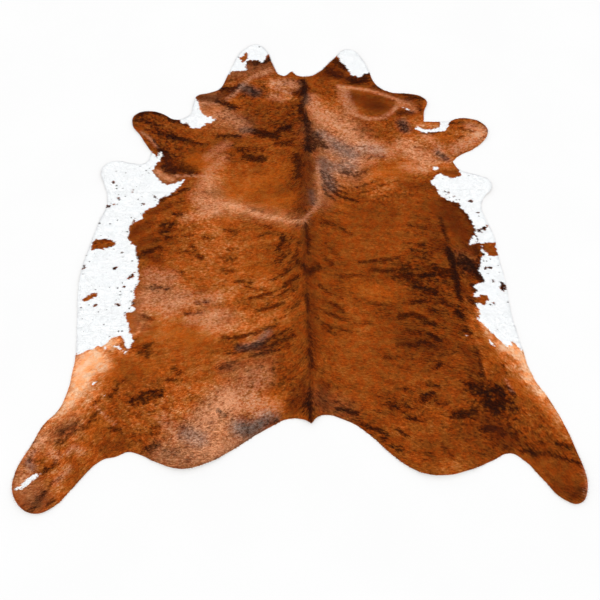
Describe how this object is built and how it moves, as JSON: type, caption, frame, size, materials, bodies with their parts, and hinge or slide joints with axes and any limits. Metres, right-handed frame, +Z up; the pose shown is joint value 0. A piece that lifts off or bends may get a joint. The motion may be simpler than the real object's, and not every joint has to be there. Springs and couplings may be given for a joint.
{
  "type": "cowhide rug",
  "caption": "Whole cowhide rug, hair side up, lying flat with its natural outline of neck, legs, belly and rump, for laying on a floor.",
  "frame": {"origin": "on the floor, under the middle of the hide's box", "axes": "+Z up out of the floor, +Y along the spine towards the neck, +X to the right seen from above with the neck up"},
  "size_m": [2.012, 2.37, 0.018],
  "materials": {
    "hair_on_hide": "short flat-lying hair, brindled brown with white belly edges, soft sheen"
  },
  "bodies": {
    "root": {"hide": "hair_on_hide"}
  },
  "joints": []
}
